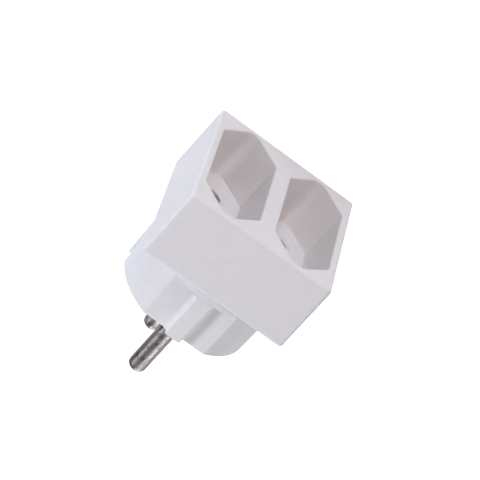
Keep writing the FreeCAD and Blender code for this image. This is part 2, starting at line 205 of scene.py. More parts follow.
def finish_mesh(bm, name):
    """Turns a closed bmesh into an object with outward faces."""
    bmesh.ops.remove_doubles(bm, verts=bm.verts, dist=MERGE_DISTANCE)
    bmesh.ops.recalc_face_normals(bm, faces=bm.faces)
    open_edges = sum(1 for edge in bm.edges if not edge.is_manifold)
    mesh = bpy.data.meshes.new(name)
    bm.to_mesh(mesh)
    bm.free()
    obj = bpy.data.objects.new(name, mesh)
    bpy.context.scene.collection.objects.link(obj)
    print(name, "faces", len(mesh.polygons), "open edges", open_edges)
    return obj


def weighted(obj):
    """Lets large flat faces decide the shading."""
    modifier = obj.modifiers.new("even_shading", "WEIGHTED_NORMAL")
    modifier.mode = "FACE_AREA"
    modifier.weight = FACE_WEIGHT
    modifier.keep_sharp = True
    return obj


# %% [markdown]
# The box is one moulding whose sides lean outwards a little towards the back, so that it leaves
# its mould. A cube with a bevel would have parallel sides. Outlines that grow with y give this
# draft, and the same function serves the outside and the lip that takes the plug's back plate.

# %% Outlines of the box
CORNER = 0.9
CORNER_STEPS = 8
LEAST_CORNER = 0.1
INNER_CORNER = 1.0


def box_ring(half_x, half_z, radius):
    corners = [(half_x, -half_z), (half_x, half_z), (-half_x, half_z), (-half_x, -half_z)]
    return rounded_ring(corners, [radius] * 4, [CORNER_STEPS] * 4)


def draft_at(y):
    return SIDE_DRAFT * (y - FRONT_Y) / (BACK_Y - FRONT_Y)


def outer_ring(y, inset):
    half_x = BOX_HALF_X + draft_at(y) - inset
    half_z = BOX_HALF_Z + draft_at(y) - inset
    return box_ring(half_x, half_z, max(CORNER - inset, LEAST_CORNER))


def inner_ring(y, inset):
    """The outline inside the box's wall."""
    half_x = BOX_HALF_X + draft_at(y) - BOX_WALL - inset
    half_z = BOX_HALF_Z + draft_at(y) - BOX_WALL - inset
    return box_ring(half_x, half_z, INNER_CORNER)


print("box outline", len(outer_ring(FRONT_Y, 0)), "points, draft", round(draft_at(BACK_Y), 2))

# %% [markdown]
# A well is a hexagon: straight sides in the middle and two slopes at each end that meet in a
# rounded point. It is worked out from where its walls stand, so that it can grow or shrink
# evenly: the rims need it a little larger, and the pads in the wells a little smaller.

# %% Outline of a well
WELL_HALF_X = 7.9
WELL_STRAIGHT = 12.65
WELL_POINT = 20.7
WELL_POINT_ROUND, WELL_POINT_STEPS = 3.0, 14
WELL_SIDE_ROUND, WELL_SIDE_STEPS = 0.9, 5


def well_ring(centre_x, grow):
    """Hexagon of a well, grown by the given amount along its walls' normals."""
    rise = WELL_POINT - WELL_STRAIGHT
    length = math.hypot(rise, WELL_HALF_X)
    normal_x, normal_z = rise / length, WELL_HALF_X / length
    offset = normal_z * WELL_POINT + grow
    half_x = WELL_HALF_X + grow
    straight = (offset - normal_x * half_x) / normal_z
    point = offset / normal_z
    corners = [(half_x, -straight), (half_x, straight), (0, point),
               (-half_x, straight), (-half_x, -straight), (0, -point)]
    side = WELL_SIDE_ROUND + max(grow, 0)
    tip = WELL_POINT_ROUND + max(grow, 0)
    steps = [WELL_SIDE_STEPS, WELL_SIDE_STEPS, WELL_POINT_STEPS] * 2
    return rounded_ring(corners, [side, side, tip] * 2, steps, centre_x)


print("well outline", len(well_ring(WELL_X, 0)), "points")

# %% [markdown]
# The box moulding is what the eye sees and the hand holds. Its wells could be cut from a block
# with booleans, but those leave thin slivers at the rims. Here the outside, the lip behind and
# both wells are lofts of their own, and the flat faces between them are filled in afterwards.
# Each wear number says how fast the mark of handling grows along a rounding, for a millimetre.

# %% Box moulding with its wells
FRONT_ROUND, FRONT_STEPS, FRONT_WEAR = 0.8, 8, 2.5
BACK_ROUND, BACK_STEPS, BACK_WEAR = 0.95, 9, 2.0
RIM_ROUND, RIM_STEPS, RIM_WEAR = 0.5, 6, 3.0
LIP_ROUND, LIP_STEPS = 0.15, 3


def make_housing():
    """Outside, lip and wells, joined by the flat faces between them."""
    bm = new_bmesh()
    outside = []
    for inset, rise in quarter(FRONT_ROUND, FRONT_STEPS):
        y = FRONT_Y + rise
        outside.append(add_ring(bm, outer_ring(y, inset), y, min(1.0, rise * FRONT_WEAR)))
    for inset, rise in reversed(quarter(BACK_ROUND, BACK_STEPS)):
        y = BACK_Y - rise
        outside.append(add_ring(bm, outer_ring(y, inset), y, min(1.0, inset * BACK_WEAR)))
    bridge(bm, outside)
    lip = [add_ring(bm, inner_ring(BACK_Y, -inset), BACK_Y - rise)
           for inset, rise in quarter(LIP_ROUND, LIP_STEPS)]
    lip.append(add_ring(bm, inner_ring(COVER_Y, 0), COVER_Y))
    bridge(bm, lip)
    fill(bm, [outside[-1], lip[0]])
    front_rows, back_rows = [outside[0]], [lip[-1]]
    for side in (-1, 1):
        rows = []
        for inset, rise in quarter(RIM_ROUND, RIM_STEPS):
            ring = well_ring(side * WELL_X, inset)
            rows.append(add_ring(bm, ring, FRONT_Y + rise, min(1.0, rise * RIM_WEAR)))
        rows.append(add_ring(bm, well_ring(side * WELL_X, 0), COVER_Y))
        bridge(bm, rows)
        front_rows.append(rows[0])
        back_rows.append(rows[-1])
    fill(bm, front_rows)
    fill(bm, back_rows)
    return finish_mesh(bm, "housing")


housing = weighted(make_housing())

# %% [markdown]
# The wells end on a plate that is a moulding of its own: two pads rise into the wells, and each
# carries two round holes for a plug's pins. A fine groove runs round each hole and sets off a low
# collar, which is what the photograph shows as a thin dark ring. Cutting four holes one by one
# would be four chances to slip, so one profile of (radius, depth) pairs serves them all.

# %% Holes in the floor plate
HOLE_RADIUS = 2.5
HOLE_POINTS = 48
GROOVE_RADIUS = 3.2
GROOVE_HALF = 0.15
GROOVE_OUTER, GROOVE_INNER = GROOVE_RADIUS + GROOVE_HALF, GROOVE_RADIUS - GROOVE_HALF
GROOVE_DEPTH = 0.34
COLLAR_DROP = 0.1
HOLE_PROFILE = [
    (GROOVE_OUTER + 0.08, 0.0), (GROOVE_OUTER + 0.02, 0.03), (GROOVE_OUTER, 0.08),
    (GROOVE_OUTER - 0.03, GROOVE_DEPTH), (GROOVE_INNER + 0.03, GROOVE_DEPTH),
    (GROOVE_INNER, COLLAR_DROP + 0.05), (GROOVE_INNER - 0.06, COLLAR_DROP),
    (HOLE_RADIUS + 0.14, COLLAR_DROP), (HOLE_RADIUS + 0.04, COLLAR_DROP + 0.04),
    (HOLE_RADIUS, COLLAR_DROP + 0.14), (HOLE_RADIUS, COVER_BACK_Y - FLOOR_Y)]


def hole_rows(bm, x, z):
    """Groove, collar and bore, from the pad's surface down to the back of the plate."""
    return [add_ring(bm, circle_ring(x, z, radius, HOLE_POINTS), FLOOR_Y + depth)
            for radius, depth in HOLE_PROFILE]


print("hole", 2 * HOLE_RADIUS, "groove out to", round(2 * GROOVE_OUTER, 2))

# %% [markdown]
# On the real adapter this plate closes the wells from behind. Each pad fits its well with a
# hair's breadth of play, so it takes the well's own outline, shrunk by that play. The plate's
# edge stays inside the box, out of sight.

# %% Floor plate of the wells
PAD_PLAY = 0.015
PAD_ROUND, PAD_STEPS = 0.05, 3
COVER_MARGIN = 0.4


def make_floor_plate():
    """Plate with a pad for each well and two holes in each pad."""
    bm = new_bmesh()
    half_x = BOX_HALF_X + draft_at(COVER_Y) - BOX_WALL - COVER_MARGIN
    half_z = BOX_HALF_Z + draft_at(COVER_Y) - BOX_WALL - COVER_MARGIN
    plate = box_ring(half_x, half_z, INNER_CORNER)
    sides = [add_ring(bm, plate, COVER_Y), add_ring(bm, plate, COVER_BACK_Y)]
    bridge(bm, sides)
    top_rows, back_rows = [sides[0]], [sides[1]]
    for side in (-1, 1):
        pad = [add_ring(bm, well_ring(side * WELL_X, -PAD_PLAY), COVER_Y)]
        for inset, rise in reversed(quarter(PAD_ROUND, PAD_STEPS)):
            pad.append(add_ring(bm, well_ring(side * WELL_X, -PAD_PLAY - inset), FLOOR_Y + rise))
        bridge(bm, pad)
        top_rows.append(pad[0])
        pad_rows = [pad[-1]]
        for level in (-1, 1):
            rows = hole_rows(bm, side * WELL_X, level * PIN_Z)
            bridge(bm, rows)
            pad_rows.append(rows[0])
            back_rows.append(rows[-1])
        fill(bm, pad_rows)
    fill(bm, top_rows)
    fill(bm, back_rows)
    return finish_mesh(bm, "well_floors")


well_floors = weighted(make_floor_plate())

# %% [markdown]
# The plug body follows one rule: a slightly tapered round, with four flats that leave a rib above
# and below, and a notch at each side for the clips of a wall socket. The taper, the height of the
# flats and the floor of the notch change along the body. So they are functions of y, not numbers,
# and any outline along the body can ask them.

# %% Sizes of the plug body
PLUG_BASE = 18.6
PLUG_END = 18.3
PLUG_LENGTH = -BACK_Y
FLANGE_END = BACK_Y + 3.3
FLAT_FLANGE = 16.25
FLAT_END = 16.0
NOTCH_FLOOR = 17.0
NOTCH_START = -6.5
NOTCH_SWEEP = 2.0
NO_NOTCH = 100.0


def plug_radius(y):
    return PLUG_END + (PLUG_BASE - PLUG_END) * (-y) / PLUG_LENGTH


def flat_height(y):
    return FLAT_END + (FLAT_FLANGE - FLAT_END) * y / FLANGE_END


def notch_floor(y, inset):
    """Floor of the clip notch; it sweeps up to the round at its inner end."""
    if y < NOTCH_START:
        return NO_NOTCH
    floor = NOTCH_FLOOR - inset
    reach = NOTCH_START + NOTCH_SWEEP - y
    if reach > 0:
        floor += NOTCH_SWEEP - math.sqrt(max(NOTCH_SWEEP ** 2 - reach ** 2, 0.0))
    return floor


print("plug across", round(2 * plug_radius(BACK_Y), 2), "to", round(2 * plug_radius(0.0), 2))

# %% [markdown]
# The body's outline is drawn in one quarter and mirrored to the others. Booleans could cut the
# flats and notches, but each seam would then need a fillet. Here every outline has the same
# number of points, so the soft foot of the ribs and the notches grow out of the round when the
# outlines are lofted. The gaps set points close to both sides of a step; STOP is in radians.

# %% Outline of the plug body
NOTCH_HALF = 2.2
NOTCH_MIDDLE = 0.7
GAPS_INSIDE = (0.25, 0.1, 0.03)
GAPS_OUTSIDE = (0.03, 0.12, 0.3)
ROUND_STEPS = 25
ROUND_POINTS = 2 + len(GAPS_INSIDE) + len(GAPS_OUTSIDE) + ROUND_STEPS
STOP = 0.012
STEEPEST = 0.999
BORDER_GAP = 0.04
FLAT_GAP, FLAT_STEPS = 0.2, 6
RIB_HALF = 2.2
RIB_FOOT, FOOT_STEPS = 1.2, 7
RIB_EDGE, EDGE_STEPS = 0.4, 7
LEAST_EDGE = 0.08
TOP_STEPS = 4


def plug_quarter(y, inset, pocket):
    """Points from the side notch to the middle of the rib.

    The rib starts broad at the flange, at pocket 0, and has its plain width at pocket 1.
    """
    radius = plug_radius(y) - inset
    flat = flat_height(y) - inset
    floor = notch_floor(y, inset)
    notch = NOTCH_HALF + inset
    points = []
    for z in (0.0, NOTCH_MIDDLE * notch, *(notch - gap for gap in GAPS_INSIDE)):
        points.append((min(floor, math.sqrt(radius ** 2 - z ** 2)), z))
    for z in (notch + gap for gap in GAPS_OUTSIDE):
        points.append((math.sqrt(radius ** 2 - z ** 2), z))
    chord = math.asin(min(flat / radius, STEEPEST))
    start = math.asin((notch + GAPS_OUTSIDE[-1]) / radius)
    for step in range(1, ROUND_STEPS + 1):
        points.append(on_circle(radius, start + (chord - STOP - start) * step / ROUND_STEPS))
    border = radius * math.cos(chord)
    widening = RIB_FOOT - math.sqrt(RIB_FOOT ** 2 - (RIB_FOOT * (1.0 - pocket)) ** 2)
    rib = RIB_HALF - inset + widening
    foot = RIB_FOOT + inset
    points.append((border - BORDER_GAP, flat))
    for step in range(1, FLAT_STEPS + 1):
        run = (border - FLAT_GAP - rib - foot) * step / FLAT_STEPS
        points.append((border - FLAT_GAP - run, flat))
    for step in range(1, FOOT_STEPS + 1):
        x, z = on_circle(foot, -math.pi / 2 - math.pi / 2 * step / FOOT_STEPS)
        points.append((rib + foot + x, flat + foot + z))
    edge = max(RIB_EDGE - inset, LEAST_EDGE)
    centre_x = rib - edge
    centre_z = math.sqrt((radius - edge) ** 2 - centre_x ** 2)
    top = math.atan2(centre_z, centre_x)
    for step in range(EDGE_STEPS + 1):
        x, z = on_circle(edge, top * step / EDGE_STEPS)
        points.append((centre_x + x, centre_z + z))
    rib_start = math.atan2(points[-1][1], points[-1][0])
    for step in range(1, TOP_STEPS + 1):
        points.append(on_circle(radius, rib_start + (math.pi / 2 - rib_start) * step / TOP_STEPS))
    return points


def whole_ring(right_up):
    """Mirrors one quarter, side to top, into the full ring."""
    left_up = [(-x, z) for x, z in reversed(right_up[:-1])]
    left_down = [(-x, -z) for x, z in right_up[1:]]
    right_down = [(x, -z) for x, z in reversed(right_up[1:-1])]
    return right_up + left_up + left_down + right_down


print("plug outline", len(whole_ring(plug_quarter(0.0, 0.0, 1.0))), "points")

# %% [markdown]
# Beside the box the body keeps its full round as a narrow flange, where the flats end. Its
# outline has as many points as the others. A bevel would round its whole edge, but only the part
# above the flats has one. So the rounding fades out where the round runs on to the plug's end,
# which is beside the flats and on top of the ribs.

# %% Flange of the plug body
FADE_IN, FADE_OUT = 3.0, 8.0


def full_quarter(y, inset, sample):
    """The plain round, with as many points as the sample outline has."""
    radius = plug_radius(y) - inset
    angles = [math.atan2(z, x) for x, z in sample[:ROUND_POINTS]]
    lowest = angles[-1]
    total = len(sample) - ROUND_POINTS
    angles += [lowest + (math.pi / 2 - lowest) * step / total for step in range(1, total + 1)]
    return [on_circle(radius, angle) for angle in angles]


def eased_quarter(y, inset, sample):
    """The flange's rounded edge, fading out over a few points at both ends."""
    ring = full_quarter(y, 0.0, sample)
    last = len(ring) - 1
    eased = []
    for index, (x, z) in enumerate(ring):
        fade_in = max(0.0, (index - ROUND_POINTS + 1) / FADE_IN)
        fade_out = max(0.0, (last - index) / FADE_OUT)
        scale = 1.0 - inset * min(1.0, fade_in, fade_out) / math.hypot(x, z)
        eased.append((x * scale, z * scale))
    return eased


# %% [markdown]
# The side of the body is one loft from the back plate to the plug's end: foot of the flange,
# flange, its rounded edge, the widening ribs, the plain body, and the rounded edge of the end.
# Rows stand close together where the notch begins, because a curve is only as smooth as its rows.

# %% Side of the plug body
FLANGE_ROUND, FLANGE_STEPS, FLANGE_WEAR = 0.25, 3, 0.8
FLANGE_ROWS = ((BACK_Y, 0.3), (BACK_Y + 0.08, 0.12), (BACK_Y + 0.25, 0.02), (BACK_Y + 0.5, 0.0),
               (FLANGE_END - FLANGE_ROUND, 0.0))
POCKET_STEPS = 7
END_ROUND, END_STEPS, END_WEAR = 0.4, 8, 3.0
BODY_ROWS = (-10.0, -6.52, -6.45, -6.3, -6.0, -5.6, -5.1, -4.5, -2.5, -END_ROUND - 0.05)


def plug_side(bm):
    """Rows from the back plate to the plug's end."""
    sample = plug_quarter(FLANGE_END, 0.0, 0.0)
    rows = []
    for y, inset in FLANGE_ROWS:
        rows.append(add_ring(bm, whole_ring(full_quarter(y, inset, sample)), y))
    for inset, rise in reversed(quarter(FLANGE_ROUND, FLANGE_STEPS)[:-1]):
        y = FLANGE_END - rise
        rows.append(add_ring(bm, whole_ring(eased_quarter(y, inset, sample)), y, FLANGE_WEAR))
    for step in range(POCKET_STEPS + 1):
        pocket = step / POCKET_STEPS
        y = FLANGE_END + RIB_FOOT * pocket
        rows.append(add_ring(bm, whole_ring(plug_quarter(y, 0.0, pocket)), y))
    for y in BODY_ROWS:
        rows.append(add_ring(bm, whole_ring(plug_quarter(y, 0.0, 1.0)), y))
    for inset, rise in reversed(quarter(END_ROUND, END_STEPS)):
        ring = whole_ring(plug_quarter(-rise, inset, 1.0))
        rows.append(add_ring(bm, ring, -rise, min(1.0, inset * END_WEAR)))
    bridge(bm, rows)
    print("plug side rows", len(rows))
    return rows


# %% [markdown]
# An ejector pin pushes a moulding out of its mould and leaves a faint round dent. On the real
# adapter such marks sit on the faces that nobody looks at: the plug's end and the corners of the
# back plate. A bump texture could fake them, but a true dent of 0.06 mm stays right in the mesh.

# %% Ejector marks
MARK_DEPTH = 0.06
MARK_EDGE = 0.03
MARK_POINTS = 40
END_MARK = 1.5
END_MARK_PLACES = ((10.5, 8.0), (-10.5, 8.0), (10.5, -8.0), (-10.5, -8.0))
PLATE_MARK = 1.2
PLATE_MARK_PLACES = [(x, z) for x in (-15.4, 15.4) for z in (-16.4, 16.4)]


def mark_row(bm, place, y, radius):
    """A shallow round dent; returns its rim."""
    profile = [(radius + MARK_EDGE, 0.0), (radius, MARK_EDGE), (radius - MARK_EDGE, MARK_DEPTH)]
    return sunk_row(bm, *place, y, profile, MARK_POINTS)


print("marks", len(END_MARK_PLACES), "on the end and", len(PLATE_MARK_PLACES), "on the plate")

# %% [markdown]
# This moulding is the one that a wall socket holds. Its end has a well for the screw and a seat
# for each pin, both round recesses with a softened rim, and its back plate is let into the box.
# The side, the recesses and the plate could be joined by booleans. Filling the flat faces between
# their rows gives one closed mesh with clean edges instead.

# %% Plug moulding with its back plate
SCREW_WELL, SCREW_WELL_DEPTH = 2.9, 2.5
WELL_CENTRE = 0.6
SCREW_WELL_PROFILE = [(SCREW_WELL + 0.2, 0.0), (SCREW_WELL + 0.06, 0.05), (SCREW_WELL, 0.2),
                      (SCREW_WELL, SCREW_WELL_DEPTH), (WELL_CENTRE, SCREW_WELL_DEPTH)]
PIN_SEAT, PIN_SEAT_DEPTH = 2.6, 2.1
PIN_SEAT_PROFILE = [(PIN_SEAT + 0.12, 0.0), (PIN_SEAT + 0.03, 0.04), (PIN_SEAT, 0.12),
                    (PIN_SEAT, PIN_SEAT_DEPTH)]
BACK_PLATE = 1.8
PLATE_Y = BACK_Y - BACK_PLATE
PLATE_PLAY = 0.1
PLATE_ROUND, PLATE_STEPS = 0.06, 3


def make_plug():
    """Side, end with its recesses, and the plate that closes the box."""
    bm = new_bmesh()
    rows = plug_side(bm)
    end_rows = [rows[-1], sunk_row(bm, 0, 0, 0.0, SCREW_WELL_PROFILE, HOLE_POINTS)]
    for level in (-1, 1):
        end_rows.append(sunk_row(bm, 0, level * PIN_Z, 0.0, PIN_SEAT_PROFILE, HOLE_POINTS))
    for place in END_MARK_PLACES:
        end_rows.append(mark_row(bm, place, 0.0, END_MARK))
    fill(bm, end_rows)
    half_x = BOX_HALF_X + draft_at(PLATE_Y) - BOX_WALL - PLATE_PLAY
    half_z = BOX_HALF_Z + draft_at(PLATE_Y) - BOX_WALL - PLATE_PLAY
    plate = [add_ring(bm, box_ring(half_x - inset, half_z - inset, INNER_CORNER), BACK_Y - rise)
             for inset, rise in quarter(PLATE_ROUND, PLATE_STEPS)]
    plate.append(add_ring(bm, box_ring(half_x, half_z, INNER_CORNER), PLATE_Y))
    bridge(bm, plate)
    marks = [mark_row(bm, place, BACK_Y, PLATE_MARK) for place in PLATE_MARK_PLACES]
    fill(bm, [plate[0], rows[0]] + marks)
    fill(bm, [plate[-1]])
    return finish_mesh(bm, "plug_body")


plug_body = weighted(make_plug())

# %% [markdown]
# Moulded plastic and plated metal are never one flat tone. Spark erosion leaves a fine pebble on
# the mould's steel, and flow or tarnish leaves clouds of tone and gloss a few millimetres wide.
# Painted images would need unwrapping, while noise in object space needs none. It lives in a node
# group with named inputs, because plastics and metals share it at different scales.

# %% Shader group for grain
def shader_group(name, inputs, outputs):
    group = bpy.data.node_groups.new(name, "ShaderNodeTree")
    for label, value in inputs:
        socket = group.interface.new_socket(label, in_out="INPUT", socket_type="NodeSocketFloat")
        socket.default_value = value
    for label in outputs:
        group.interface.new_socket(label, in_out="OUTPUT", socket_type="NodeSocketFloat")
    return group, group.nodes.new("NodeGroupInput"), group.nodes.new("NodeGroupOutput")


def grain_group():
    """A fine pebble for the bump and a wider cloud for tone and gloss."""
    group, entry, leave = shader_group(
        "moulded_grain", (("Pebble Scale", 3500.0), ("Cloud Scale", 60.0)), ("Height", "Cloud"))
    nodes, links = group.nodes, group.links
    where = nodes.new("ShaderNodeTexCoord")
    pebble = nodes.new("ShaderNodeTexNoise")
    pebble.inputs["Detail"].default_value = 2.0
    pebble.inputs["Roughness"].default_value = 0.45
    cloud = nodes.new("ShaderNodeTexNoise")
    cloud.inputs["Detail"].default_value = 3.0
    links.new(where.outputs["Object"], pebble.inputs["Vector"])
    links.new(where.outputs["Object"], cloud.inputs["Vector"])
    links.new(entry.outputs["Pebble Scale"], pebble.inputs["Scale"])
    links.new(entry.outputs["Cloud Scale"], cloud.inputs["Scale"])
    links.new(pebble.outputs["Fac"], leave.inputs["Height"])
    links.new(cloud.outputs["Fac"], leave.inputs["Cloud"])
    return group


GRAIN = grain_group()
print(GRAIN.name, "nodes", len(GRAIN.nodes))

# %% [markdown]
# Handling polishes the edges of an adapter before its faces. The edge number on each vertex says
# where, and a patchy noise breaks it up, so that the polish isn't an even line. A mask from the
# mesh's curvature would have to be baked; this number came free with the roundings.

# %% Shader group for handled edges
def math_node(nodes, operation, clamp=False):
    node = nodes.new("ShaderNodeMath")
    node.operation = operation
    node.use_clamp = clamp
    return node


def handled_group():
    """Mask of edges that handling has rubbed, broken up by a patchy noise."""
    group, entry, leave = shader_group(
        "handled_edges", (("Amount", 0.5), ("Patch Scale", 220.0)), ("Mask",))
    nodes, links = group.nodes, group.links
    mark = nodes.new("ShaderNodeAttribute")
    mark.attribute_name = "edge"
    where = nodes.new("ShaderNodeTexCoord")
    patch = nodes.new("ShaderNodeTexNoise")
    patch.inputs["Detail"].default_value = 4.0
    soft = nodes.new("ShaderNodeMapRange")
    soft.inputs["From Min"].default_value = 0.35
    soft.inputs["From Max"].default_value = 0.65
    both = math_node(nodes, "MULTIPLY")
    strength = math_node(nodes, "MULTIPLY", clamp=True)
    links.new(where.outputs["Object"], patch.inputs["Vector"])
    links.new(entry.outputs["Patch Scale"], patch.inputs["Scale"])
    links.new(patch.outputs["Fac"], soft.inputs["Value"])
    links.new(mark.outputs["Fac"], both.inputs[0])
    links.new(soft.outputs["Result"], both.inputs[1])
    links.new(both.outputs[0], strength.inputs[0])
    links.new(entry.outputs["Amount"], strength.inputs[1])
    links.new(strength.outputs[0], leave.inputs["Mask"])
    return group


HANDLED = handled_group()
print(HANDLED.name, "nodes", len(HANDLED.nodes))

# %% [markdown]
# The same few steps come back in every finish: place a group with its own values, blend two
# colours by a mask, map a mask to a range of gloss, and let a height tilt the surface. Written
# once as helpers, they leave each material short enough to read.

# %% Helpers for materials
def new_material(name):
    material = bpy.data.materials.new(name)
    material.use_nodes = True
    return material, material.node_tree.nodes, material.node_tree.links


def add_group(nodes, group, **values):
    """Places a group; an input's name is given with _ for its spaces."""
    node = nodes.new("ShaderNodeGroup")
    node.node_tree = group
    for label, value in values.items():
        node.inputs[label.replace("_", " ")].default_value = value
    return node


def mixed_colour(nodes, links, factor, first, second):
    """Blends two colours; factor 0 gives the first."""
    mix = nodes.new("ShaderNodeMix")
    mix.data_type = "RGBA"
    mix.inputs[6].default_value = (*first, 1)
    mix.inputs[7].default_value = (*second, 1)
    links.new(factor, mix.inputs[0])
    return mix.outputs[2]


def mapped(nodes, links, value, low, high):
    """Maps a 0 to 1 value to the given range."""
    node = nodes.new("ShaderNodeMapRange")
    node.inputs["To Min"].default_value = low
    node.inputs["To Max"].default_value = high
    links.new(value, node.inputs["Value"])
    return node.outputs["Result"]


def add_bump(nodes, links, shader, height, strength, depth):
    """Tilts the surface by a height; depth is in millimetres."""
    bump = nodes.new("ShaderNodeBump")
    bump.inputs["Strength"].default_value = strength
    bump.inputs["Distance"].default_value = depth * MM
    links.new(height, bump.inputs["Height"])
    links.new(bump.outputs["Normal"], shader.inputs["Normal"])


# %% [markdown]
# The box and the plug are two mouldings, so they are two slightly different whites. One flat
# colour would look like paint. Here the tone is a blend of cloud and pebble, the gloss follows
# the cloud, and rubbed edges are glossier. The whites are a little warm, because the lamps are a
# little cool.

# %% White moulded plastic
PEBBLE_SHARE = 0.45
POLISH = 0.12
PEBBLE_BUMP, PEBBLE_DEPTH = 0.25, 0.1


def plastic(name, dull, clear, gloss):
    """White plastic between two tones, with a range of roughness."""
    material, nodes, links = new_material(name)
    shader = nodes["Principled BSDF"]
    grain = add_group(nodes, GRAIN, Pebble_Scale=2300.0, Cloud_Scale=330.0)
    worn = add_group(nodes, HANDLED, Amount=0.6, Patch_Scale=240.0)
    tone = nodes.new("ShaderNodeMix")
    tone.inputs[0].default_value = PEBBLE_SHARE
    links.new(grain.outputs["Cloud"], tone.inputs[2])
    links.new(grain.outputs["Height"], tone.inputs[3])
    colour = mixed_colour(nodes, links, tone.outputs[0], dull, clear)
    links.new(colour, shader.inputs["Base Color"])
    share = math_node(nodes, "MULTIPLY")
    share.inputs[1].default_value = POLISH
    links.new(worn.outputs["Mask"], share.inputs[0])
    lower = math_node(nodes, "SUBTRACT")
    links.new(mapped(nodes, links, grain.outputs["Cloud"], *gloss), lower.inputs[0])
    links.new(share.outputs[0], lower.inputs[1])
    links.new(lower.outputs[0], shader.inputs["Roughness"])
    add_bump(nodes, links, shader, grain.outputs["Height"], PEBBLE_BUMP, PEBBLE_DEPTH)
    return material


HOUSING_WHITE = plastic("box_plastic", (0.825, 0.79, 0.782), (0.945, 0.92, 0.912), (0.42, 0.52))
PLUG_WHITE = plastic("plug_plastic", (0.855, 0.83, 0.82), (0.985, 0.965, 0.958), (0.38, 0.48))
print("plastics", HOUSING_WHITE.name, PLUG_WHITE.name)

# %% [markdown]
# The pins are brass with a nickel plate that has dulled in patches, the screw is zinc on steel,
# and the contacts are plain brass. A lathe or a press leaves fine lines round the Y axis.
# Anisotropic gloss could hint at them, but noise that is drawn out in X and Z and left fine in Y
# gives real lines from any side. Patches change both tone and gloss, as tarnish does.

# %% Metals
LINE_STRETCH = (0.08, 1.0, 0.08)
LINE_BUMP = 0.3
PATCH_FROM, PATCH_TO = 0.30, 0.70


def metal(name, dull, bright, gloss, line_depth, patch_scale):
    """Metal with fine lines round the Y axis and dull patches; gloss is its roughness range."""
    material, nodes, links = new_material(name)
    shader = nodes["Principled BSDF"]
    shader.inputs["Metallic"].default_value = 1.0
    where = nodes.new("ShaderNodeTexCoord")
    stretch = nodes.new("ShaderNodeMapping")
    stretch.inputs["Scale"].default_value = LINE_STRETCH
    lines = nodes.new("ShaderNodeTexNoise")
    lines.inputs["Scale"].default_value = 4000.0
    lines.inputs["Detail"].default_value = 3.0
    links.new(where.outputs["Object"], stretch.inputs["Vector"])
    links.new(stretch.outputs["Vector"], lines.inputs["Vector"])
    grain = add_group(nodes, GRAIN, Pebble_Scale=3000.0, Cloud_Scale=patch_scale)
    patch = nodes.new("ShaderNodeMapRange")
    patch.interpolation_type = "SMOOTHSTEP"
    patch.inputs["From Min"].default_value = PATCH_FROM
    patch.inputs["From Max"].default_value = PATCH_TO
    links.new(grain.outputs["Cloud"], patch.inputs["Value"])
    shade = patch.outputs["Result"]
    links.new(mixed_colour(nodes, links, shade, bright, dull), shader.inputs["Base Color"])
    links.new(mapped(nodes, links, shade, *gloss), shader.inputs["Roughness"])
    add_bump(nodes, links, shader, lines.outputs["Fac"], LINE_BUMP, line_depth)
    return material


PIN_NICKEL = metal("nickel_plate", (0.43, 0.365, 0.34), (0.565, 0.50, 0.475), (0.26, 0.54),
                   line_depth=0.20, patch_scale=800.0)
CONTACT_BRASS = metal("sheet_brass", (0.55, 0.42, 0.20), (0.80, 0.62, 0.32), (0.25, 0.40),
                      line_depth=0.03, patch_scale=180.0)
RIVET_BRASS = metal("headed_brass", (0.52, 0.40, 0.19), (0.76, 0.58, 0.30), (0.28, 0.42),
                    line_depth=0.03, patch_scale=180.0)
SCREW_STEEL = metal("zinc_steel", (0.42, 0.42, 0.43), (0.62, 0.62, 0.63), (0.25, 0.40),
                    line_depth=0.03, patch_scale=180.0)
print("metals", PIN_NICKEL.name, CONTACT_BRASS.name, RIVET_BRASS.name, SCREW_STEEL.name)

# %% [markdown]
# The plastic pieces take their white. The strips, sleeves and rivets inside could be modelled
# again, but their exact shapes are already right, so those nodes of the frame only get a finish.
# They show through the holes of the wells, where the eye expects a glint of brass.

# %% Plastic and brass
def dress(obj, material):
    obj.data.materials.clear()
    obj.data.materials.append(material)


dress(housing, HOUSING_WHITE)
dress(well_floors, HOUSING_WHITE)
dress(plug_body, PLUG_WHITE)
contact_names = [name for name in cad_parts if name.startswith(("strip_", "sleeve_"))]
for name in contact_names:
    dress(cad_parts[name], CONTACT_BRASS)
dress(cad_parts["rivets"], RIVET_BRASS)
print("brass on", sorted(contact_names), "and rivets")

# %% [markdown]
# Both pins are the same turned part. Copying the mesh twice would do, but a node tree says it
# better: it puts the modifier's own mesh on the points of a grid that stands upright, and makes
# the copies real. Its inputs are named, so the same tree would serve any part that repeats.

